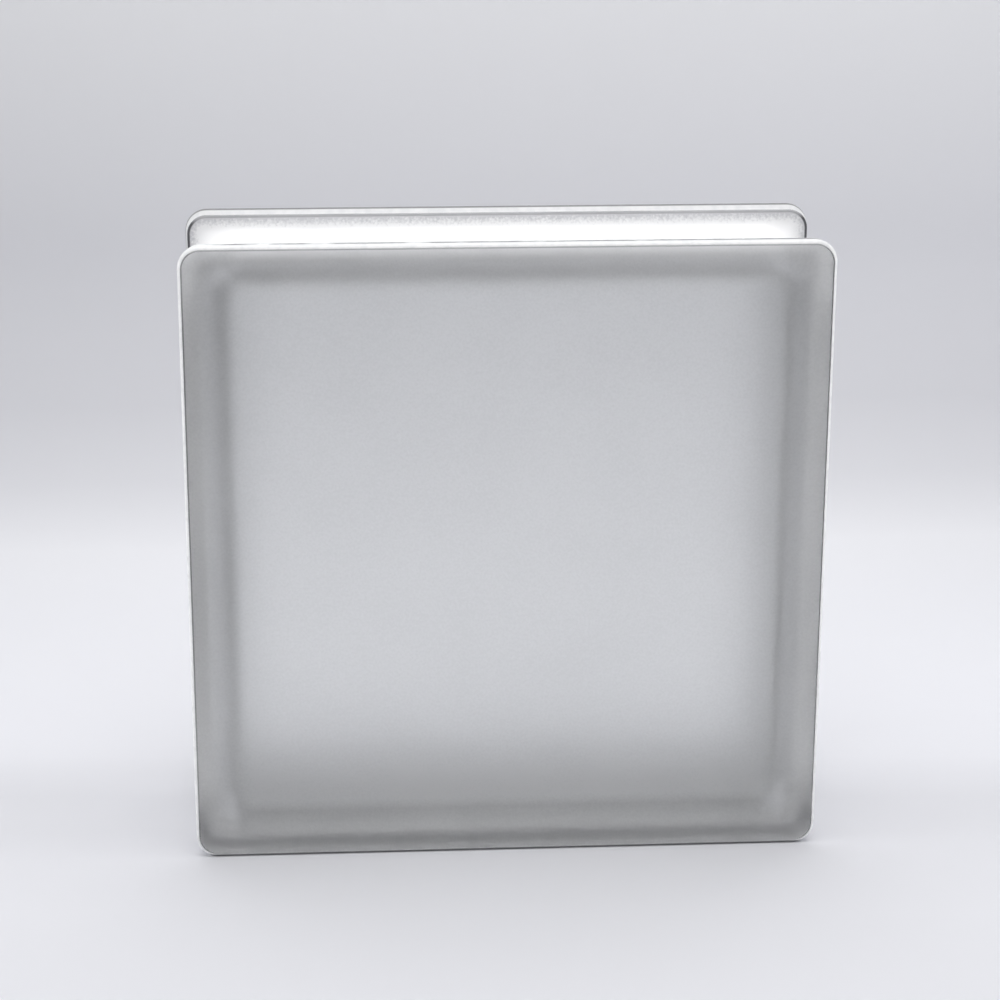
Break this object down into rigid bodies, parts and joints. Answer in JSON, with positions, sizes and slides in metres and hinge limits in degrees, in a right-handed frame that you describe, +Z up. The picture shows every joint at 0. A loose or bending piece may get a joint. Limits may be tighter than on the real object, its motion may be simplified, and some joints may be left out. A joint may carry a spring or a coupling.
{
  "type": "glass block",
  "caption": "Square hollow glass block with satin faces, a lip round each face and a white coated mortar channel round its edge, made of two fused halves.",
  "frame": {"origin": "middle of the foot, between the two lips that the block stands on", "axes": "+Z up, +X to the right across the faces, the front face looks toward -Y and the weld lies in the plane y = 0"},
  "size_m": [0.19, 0.055, 0.19],
  "materials": {
    "satin_glass": "satin etched faces and shoulders, whitish ground lips",
    "edge_coating": "thin white mortar bond coat on the walls of the perimeter channel"
  },
  "bodies": {
    "root": {"front_half": "satin_glass", "back_half": "satin_glass"}
  },
  "joints": []
}
